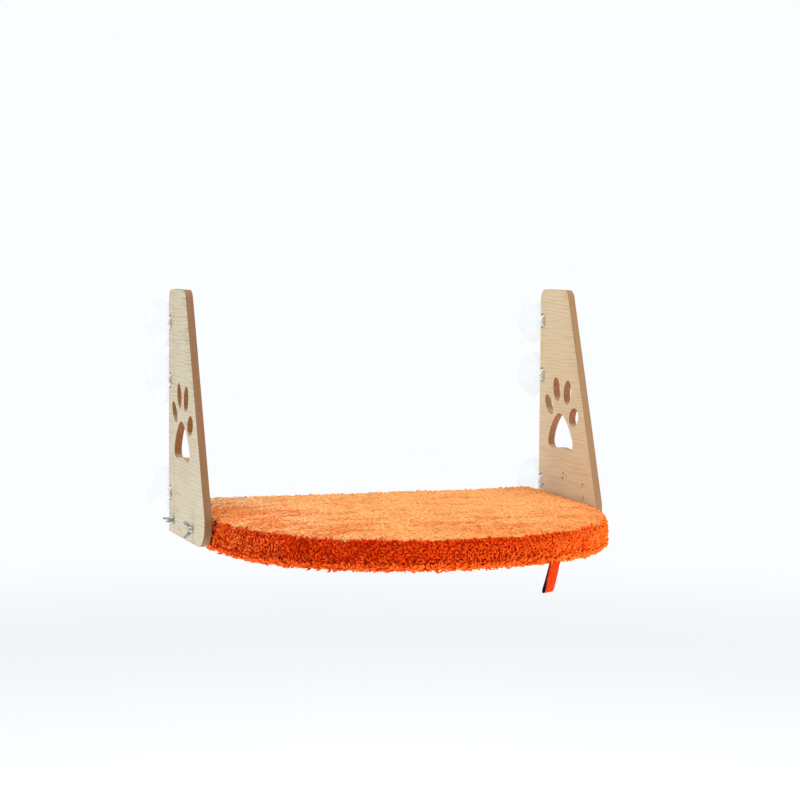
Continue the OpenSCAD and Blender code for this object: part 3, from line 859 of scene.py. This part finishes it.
def cushion(materials):
    """Cloth body of the cushion, and the tufts that stand on it."""
    body = stuffed_skin(materials["ground"])
    rng = np.random.default_rng(SEED)
    roots, normals = pile_roots(body, rng)
    x, y, z = roots.T
    depth = depth_in_plan(roots)
    hidden = y > PANEL_Y - PANEL_BOTTOM_IN + 6 * MM
    # The top's pile ends in a ragged edge over the side's
    ragged = [noise.noise(Vector(p * 110)) for p in roots]
    ragged = 0.22 * np.array(ragged) + rng.uniform(-0.1, 0.1, len(roots))
    top = normals[:, 2] > np.where(hidden, 0.4, 0.72 + ragged)
    hem = normals[:, 2] < -0.55
    turn = sway_turns(roots)
    sway = np.c_[np.cos(turn), np.sin(turn), np.zeros(len(turn))]
    outward = unit(normals * [1, 1, 0] + unit(roots - [0, MIDDLE_Y, 0]) * [0.01, 0.01, 0])
    # Under the rim the side's tufts are short and bend down, so that the top hides them
    under = rising(normals[:, 2], 0, 0.5)
    down = np.array([[0.0, 0.0, -1.0]]) * (1 + 9 * under)[:, None]
    # Along the front rim the top's pile lies along the edge and catches the light
    front = y < ROUND_Y + 30 * MM
    rim = (1 - rising(depth, 4 * MM, 16 * MM)) * front
    either = np.sign(rng.uniform(-1, 1, len(roots)))[:, None]
    beside = np.cross(outward, [0, 0, 1]) * either
    lean = np.where(top[:, None], sway + 3 * beside * rim[:, None], down)
    lean = np.where(hem[:, None], outward, lean)
    fine = rising(x, 20 * MM, 150 * MM)
    size = np.where(top, 1 - 0.45 * rim, (1 - 0.35 * under) * (1 - 0.2 * fine))
    # Painted light on the side's tips: low down, further up at its right, and at both ends
    low = 1 - rising(z, LOW_Z, 9 * MM)
    low = np.maximum(low, rising(x, -40 * MM, 160 * MM) * (1 - rising(z, LOW_Z, 32 * MM)))
    ends = 0.95 * rising(x, 40 * MM, 150 * MM)
    ends = np.maximum(ends, 0.6 * rising(-x, 180 * MM, 50 * MM))
    # Painted light and shade on the top's tips: light along the rim, at the left end and
    # most in its rear corner, and deeper at the right end and in a band along the front
    glint = rim * np.clip((110 * MM - x) / (120 * MM), -0.8, 1)
    glint -= 0.8 * rising(x, 130 * MM, 100 * MM)
    deeper = (1 - rising(depth, 0, 50 * MM)) * np.maximum(rising(x, -100 * MM, 60 * MM), 0.4)
    glint -= 0.6 * deeper * front
    glint += 0.5 * rising(-x, 90 * MM, 80 * MM)
    glint += 0.7 * rising(-x, 150 * MM, 70 * MM) * rising(y, -150 * MM, 60 * MM)
    pale = np.where(top, glint, np.maximum(low, ends)) * rng.uniform(0.3, 1.0, len(roots))
    soft = np.where(top, 0.6 + 0.2 * rim, 0.5 * fine)
    found = (roots, normals, lean, size, pale, soft)
    side = ~top & ~hem
    parts = {
        "top_left": top & (x < -TOP_CUT),
        "top_middle_left": top & (x >= -TOP_CUT) & (x < 0),
        "top_middle_right": top & (x >= 0) & (x < TOP_CUT),
        "top_right": top & (x >= TOP_CUT),
        "side_left": side & (x < -SIDE_CUT),
        "side_middle": side & (abs(x) <= SIDE_CUT),
        "side_right": side & (x > SIDE_CUT),
        "hem": hem,
    }
    for name, some in parts.items():
        kind = name.split("_")[0]
        material = materials["top" if kind == "top" else "side"]
        pile_part("plush_" + name, some, found, rng, material, PILES[kind])
    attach(body, "perch")
    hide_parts("plush_cover", "top_foam", "under_foam")


# The cloth under the cushion: how far its edge lies inside the outline, its rings from
# there to the middle as shares, its thickness, the seam's share, and the seam's puckers
CLOTH_IN = 11 * MM
CLOTH_SHARES = [1, 0.985, 0.97, 0.95, 0.92, 0.88, 0.8, 0.7, 0.55, 0.4, 0.25, 0.1]
CLOTH_T = 0.6 * MM
SEAM_SHARE = 0.985
PUCKER_H = 0.45 * MM
PUCKER_PITCH = 9 * MM


def base_cloth(cloth, yarn):
    """Cloth that closes the cover underneath, sewn in with a running stitch."""
    middle = np.array([0, MIDDLE_Y])
    rim = cushion_plan(CLOTH_IN, back=90, side=36, front=220)
    length = np.linalg.norm(np.roll(rim, -1, axis=0) - rim, axis=1)
    arc = np.concatenate([[0], np.cumsum(length)[:-1]])
    wave = np.sin(arc / PUCKER_PITCH * 2 * math.pi)
    rings = []
    for share in CLOTH_SHARES:
        q = middle + (rim - middle) * share
        # The puckers die out inwards, and the middle hangs a little
        pucker = PUCKER_H * math.exp(-(1 - share) * 22) * wave
        z = LOW_Z + 0.35 * MM + pucker - 0.9 * MM * (1 - share) ** 0.5
        z += [0.5 * MM * noise.noise(Vector((a * 24, b * 24, 8))) for a, b in q]
        rings.append(np.c_[q, z])
    points, faces = lofted(rings, (0, MIDDLE_Y, LOW_Z - 0.5 * MM))
    obj = smooth(mesh_object("under_cloth", points, faces, cloth))
    add_modifier(obj, "SOLIDIFY", thickness=CLOTH_T, offset=0)
    apply_modifiers(obj)
    seam = stitches(middle + (rim - middle) * SEAM_SHARE, LOW_Z - 0.55 * MM, yarn)
    for piece in (obj, seam):
        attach(piece, "perch")
    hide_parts("base_cloth")


# A stitch: shares of its length, and there its radius and how far it goes in
STITCH_RINGS = ((0, 0.35, 0.6), (0.25, 1, 0), (0.75, 1, 0), (1, 0.35, 0.6))
STITCH_SIDES = 6
STITCH_PITCH = 5.5 * MM
STITCH_L = 3.6 * MM
YARN_R = 0.35 * MM


def run_length(path):
    """Length of a path up to each of its points."""
    return np.concatenate([[0], np.cumsum(np.linalg.norm(np.diff(path, axis=0), axis=1))])


def stitches(loop, z, yarn):
    """Running stitch along a closed loop in plan: small rounded bars of thread."""
    closed = np.concatenate([loop, loop[:1]])
    run = run_length(closed)
    count = int(run[-1] / STITCH_PITCH)
    n = STITCH_SIDES
    points, faces = [], []
    for i in range(count):
        ends = [i * run[-1] / count + d for d in (0, STITCH_L)]
        a, b = (np.array([np.interp(e, run, closed[:, k]) for k in (0, 1)]) for e in ends)
        way = unit(b - a)
        side = np.array([-way[1], way[0]])
        first = len(points)
        for share, size, drop in STITCH_RINGS:
            p = a + (b - a) * share
            for j in range(n):
                t = 2 * math.pi * j / n
                q = p + side * math.cos(t) * YARN_R * size
                points.append((*q, z + drop * YARN_R + math.sin(t) * YARN_R * size))
        for k in range(len(STITCH_RINGS) - 1):
            for j in range(n):
                c, d = first + k * n + j, first + k * n + (j + 1) % n
                faces.append((c, d, d + n, c + n))
        faces.append(tuple(first + j for j in range(n - 1, -1, -1)))
        last = first + (len(STITCH_RINGS) - 1) * n
        faces.append(tuple(last + j for j in range(n)))
    return smooth(mesh_object("hem_stitches", points, faces, yarn))


# Ribbon: half its loop from the seam to the fold, as shares of half its depth and of its
# length, then its depth, its thickness, the points across it, how far each layer bows
# and how far the whole hangs askew
RIBBON_SHARES = [
    (0.36, 0),
    (0.42, 0.25),
    (0.62, 0.55),
    (0.92, 0.78),
    (1, 0.9),
    (0.72, 0.98),
    (0, 1),
]
RIBBON_FOLD = 5 * MM
RIBBON_T = 0.45 * MM
RIBBON_COLS = 13
BOW_H = 0.35 * MM
ASKEW = 1.2 * MM


def curve_through(loop):
    """A smooth path through the points of loop, with eight steps between two of them."""
    ends = np.concatenate([[2 * loop[0] - loop[1]], loop, [2 * loop[-1] - loop[-2]]])
    fine = []
    for a, b, c, d in zip(ends, ends[1:], ends[2:], ends[3:]):
        bend, twist = 2 * a - 5 * b + 4 * c - d, 3 * b - a - 3 * c + d
        for t in np.arange(0, 1, 0.125):
            fine.append((2 * b + (c - a) * t + bend * t * t + twist * t**3) / 2)
    return np.array([*fine, loop[-1]])


def ribbon(outer, inner):
    """Woven ribbon folded into a hanging loop: its two ends go up into the seam."""
    half = np.array(RIBBON_SHARES) * [RIBBON_FOLD / 2 - RIBBON_T / 2, -TAG_L + RIBBON_T / 2]
    path = curve_through(np.concatenate([half, half[-2::-1] * [-1, 1]]))
    run = run_length(path)
    cols = RIBBON_COLS
    share = (TAG_X / (CUSHION_R - HEM_IN)) ** FRONT_POWER
    seam_y = ROUND_Y - (CUSHION_R - HEM_IN) * (1 - share) ** (1 / FRONT_POWER)
    angle = math.atan((share / (1 - share)) ** (1 - 1 / FRONT_POWER))
    points, faces = [], []
    for k, (depth, z) in enumerate(path):
        for j in range(cols):
            u = (j / (cols - 1) - 0.5) * TAG_W
            # Each layer bows a little across its width, and the whole hangs askew
            bow = BOW_H * (1 - (2 * u / TAG_W) ** 2) * np.sign(depth)
            bow *= min(1, -z / (8 * MM))
            turn = angle + math.radians(TAG_TWIST_DEG) * (-z / TAG_L)
            across = u + z * math.tan(math.radians(TAG_LEAN_DEG))
            across += ASKEW * math.sin(math.pi * -z / TAG_L) * (0.5 + u / TAG_W)
            along = depth + bow + ASKEW * (z / TAG_L) ** 2
            x = TAG_X + across * math.cos(turn) - along * math.sin(turn)
            y = seam_y + across * math.sin(turn) + along * math.cos(turn)
            points.append((x, y, LOW_Z - 0.2 * MM + z))
        if k:
            first = (k - 1) * cols
            for j in range(cols - 1):
                a = first + j
                faces.append((a, a + 1, a + 1 + cols, a + cols))
    obj = smooth(mesh_object("folded_ribbon", points, faces, outer, inner))
    layer = obj.data.uv_layers.new(name="cloth")
    for corner, place in zip(obj.data.loops, layer.data):
        k, j = divmod(corner.vertex_index, cols)
        place.uv = (j / (cols - 1) * TAG_W, run[k])
    add_modifier(obj, "SOLIDIFY", thickness=RIBBON_T, offset=0, material_offset=1)
    apply_modifiers(obj)
    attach(obj, "perch")
    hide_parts("ribbon_tag")


# Stage

WHITE = (0.965, 0.985, 1.0, 1)
FLOOR_Z = -0.42
FLOOR_HALF = 30
# Name, place, target, size in metres and power in watts
LAMPS = [
    ("overhead", (0.1, -0.1, 1.9), (0, -0.2, 0), (1.9, 1.5), 34),
    ("left", (-1.9, -0.7, 0.9), (0, -0.15, 0.1), (1.3, 1.3), 18),
    ("front", (0.4, -2.3, 0.9), (0, -0.2, 0.1), (1.2, 0.9), 2.5),
    ("right", (1.55, -1.5, 0.2), (0.2, -0.25, 0.02), (0.9, 0.6), 23),
    ("table", (0, -0.25, -0.4), (0, -0.25, 0), (1.4, 1.2), 6.5),
]
# Camera: its place, its angles in radians, and its lens and sensor in millimetres
CAMERA_PLACE = (-0.84511, -2.50201, 0.34659)
YAW, PITCH, ROLL = 0.345, -0.0714, 0.0073
LENS, SENSOR = 92.81, 36


def seen_rays(tree):
    """1 for rays from the camera, reflections and clear plastic, and 0 for light."""
    rays = add_node(tree, "LightPath").outputs
    share = rays["Is Camera Ray"]
    for other in ("Is Glossy Ray", "Is Transmission Ray"):
        inputs = {0: share, 1: rays[other]}
        share = add_node(tree, "Math", inputs, operation="MAXIMUM").outputs[0]
    return share


def surround():
    """A white world that the camera, metal and glass see, and a weaker one as light."""
    world = bpy.data.worlds.new("studio")
    bpy.context.scene.world = world
    world.use_nodes = True
    tree = world.node_tree
    tree.nodes.clear()
    soft = add_node(tree, "Background", {"Color": (0.97, 0.985, 1.0, 1), "Strength": 0.42})
    seen = add_node(tree, "Background", {"Color": WHITE, "Strength": 1.0})
    inputs = {0: seen_rays(tree), 1: soft.outputs[0], 2: seen.outputs[0]}
    mix = add_node(tree, "MixShader", inputs)
    add_node(tree, "OutputWorld", {"Surface": mix.outputs[0]})


def stage():
    """Pale floor: near the object it is real and takes its shadow, and far off it is
    background."""
    h = FLOOR_HALF
    corners = [(-h, -h, 0), (h, -h, 0), (h, h, 0), (-h, h, 0)]
    s = Shader("pale_floor", Roughness=0.9, Specular_IOR_Level=0.1)
    s.set(Base_Color=(0.93, 0.965, 1.0, 1))
    floor = mesh_object("floor", corners, [(0, 1, 2, 3)], s.material)
    floor.location = (0, 0, FLOOR_Z)
    glow = s.add("Emission", {"Color": WHITE, "Strength": 1.0})
    place = s.add("TexCoord").outputs["Object"]
    away = s.add("VectorMath", {0: place}, operation="LENGTH").outputs["Value"]
    far = s.times_plus(s.step(away, 0.9, 2.6), 0.45, 0.55)
    share = s.times(far, seen_rays(s.tree))
    blend = s.add("MixShader", {0: share, 1: s.bsdf.outputs[0], 2: glow.outputs[0]})
    put(s.tree, blend.outputs[0], s.tree.nodes["Material Output"].inputs["Surface"])


def area_light(name, place, target, size, power_w):
    """A soft lamp turned to its target, which the camera and clear plastic don't see."""
    data = bpy.data.lights.new(name, "AREA")
    data.shape = "RECTANGLE"
    data.size, data.size_y = size
    data.energy = power_w
    obj = new_object(name, data)
    obj.location = place
    way = Vector(target) - Vector(place)
    obj.rotation_euler = way.to_track_quat("-Z", "Y").to_euler()
    obj.visible_camera = obj.visible_transmission = False


def camera():
    """The photograph's viewing angle."""
    data = bpy.data.cameras.new("camera")
    data.lens, data.sensor_width = LENS, SENSOR
    data.clip_start, data.clip_end = 0.05, 200
    obj = new_object("camera", data)
    level = math.cos(PITCH)
    ahead = Vector((math.sin(YAW) * level, math.cos(YAW) * level, math.sin(PITCH)))
    right = Vector((math.cos(YAW), -math.sin(YAW), 0))
    up = right.cross(ahead)
    x = right * math.cos(ROLL) + up * math.sin(ROLL)
    y = -right * math.sin(ROLL) + up * math.cos(ROLL)
    turn = Matrix((x, y, -ahead)).transposed().to_4x4()
    obj.matrix_world = Matrix.Translation(CAMERA_PLACE) @ turn
    bpy.context.scene.camera = obj


# Build

LEFT_LOOKS = {
    "pale": (0.60, 0.525, 0.38, 1),
    "line": (0.44, 0.36, 0.235, 1),
    "dark": (0.27, 0.25, 0.19, 1),
    "core": (0.26, 0.130, 0.056, 1),
    "dust": (0.165, 0.080, 0.035, 1),
    "wall": (0.34, 0.148, 0.045, 1),
    "burn": (0.12, 0.045, 0.015, 1),
    "rings": 0.65,
    "streak": 0.75,
}
RIGHT_LOOKS = {
    "pale": (0.68, 0.57, 0.37, 1),
    "line": (0.56, 0.41, 0.245, 1),
    "dark": (0.38, 0.28, 0.19, 1),
    "core": (0.31, 0.180, 0.082, 1),
    "dust": (0.225, 0.117, 0.050, 1),
    "wall": (0.36, 0.165, 0.065, 1),
    "burn": (0.14, 0.058, 0.022, 1),
    "rings": 0.55,
    "streak": 0.15,
}
LEFT_LINES = [(-0.0415, -0.0145, 0.28), (-0.137, 0, 0.041)]
RIGHT_MARKS = [
    (-0.091, 0.065, 0.0030, 0.0012),
    (-0.089, 0.059, 0.0030, 0.0014),
    (-0.150, 0.057, 0.0018, 0.0018),
    (-0.146, 0.053, 0.0013, 0.0009),
    (-0.152, 0.040, 0.0009, 0.0055),
    (-0.100, 0.062, 0.0016, 0.0008),
]
# Cream colour of the top's painted highlights
PAINTED_PLUSH_HIGHLIGHT = (0.97, 0.66, 0.40, 1)


def dress(nodes, material, bevel=0.0):
    """Gives CAD nodes a material, and worn edges of the width bevel."""
    for name in nodes:
        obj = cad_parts[name]
        for slot in obj.material_slots:
            slot.link = "OBJECT"
            slot.material = material
        if bevel:
            corner = math.radians(40)
            worn = add_modifier(obj, "BEVEL", width=bevel, segments=2)
            worn.limit_method, worn.angle_limit = "ANGLE", corner


def main():
    bpy.context.scene.view_settings.view_transform = "Standard"
    camera()
    surround()
    stage()
    for lamp in LAMPS:
        area_light(*lamp)

    left = veneer("left_veneer", LEFT_LOOKS, -0.1, lines=LEFT_LINES)
    right = veneer("right_veneer", RIGHT_LOOKS, 0.13, marks=RIGHT_MARKS)
    board = plain_wood("shelf_wood", (0.62, 0.44, 0.25, 1), (0.45, 0.29, 0.15, 1))
    cups = [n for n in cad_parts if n.endswith("_cup")]
    metal = [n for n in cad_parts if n.endswith(("_screw", "_washer"))]
    dress(["left_side_panel"], left, 0.35 * MM)
    dress(["right_side_panel"], right, 0.35 * MM)
    dress(["shelf_board"], board)
    dress(cups, clear_vinyl())
    dress([*metal, "square_nuts"], zinc("zinc_steel"), 0.25 * MM)

    # One plush in two looks: the top's paler colours are painted light and the side's deeper
    # ones painted shade
    looks = {
        "ground": ground("plush_ground", (0.90, 0.36, 0.10, 1), (0.40, 0.02, 0.001, 1)),
        "top": plush(
            "plush_top",
            (0.88, 0.20, 0.025),
            (0.95, 0.36, 0.10),
            (0.94, 0.445, 0.17),
            (0.70, 0.125, 0.016, 1),
            PAINTED_PLUSH_HIGHLIGHT,
            PAINTED_PLUSH_HIGHLIGHT,
            1.0,
        ),
        "side": plush(
            "plush_side",
            (0.16, 0.001, 0.0),
            (0.62, 0.018, 0.0005),
            (0.84, 0.072, 0.003),
            (0.58, 0.018, 0.0005, 1),
            # Painted highlight colours of the side's tips, the second towards the left end
            (0.97, 0.225, 0.026, 1),
            (0.88, 0.22, 0.04, 1),
        ),
    }
    cushion(looks)
    cloth, yarn = "under_cloth", "hem_yarn"
    under = woven(cloth, (0.55, 0.13, 0.02, 1), (0.30, 0.05, 0.006, 1), 0.9 * MM, 0.0002)
    base_cloth(under, thread(yarn, (0.62, 0.16, 0.03, 1), (0.38, 0.07, 0.01, 1)))
    orange = ribbed("ribbon_orange", (0.72, 0.050, 0.004, 1), (0.52, 0.030, 0.002, 1))
    navy = ribbed("ribbon_navy", (0.02, 0.06, 0.15, 1), (0.006, 0.022, 0.065, 1))
    ribbon(orange, navy)


main()
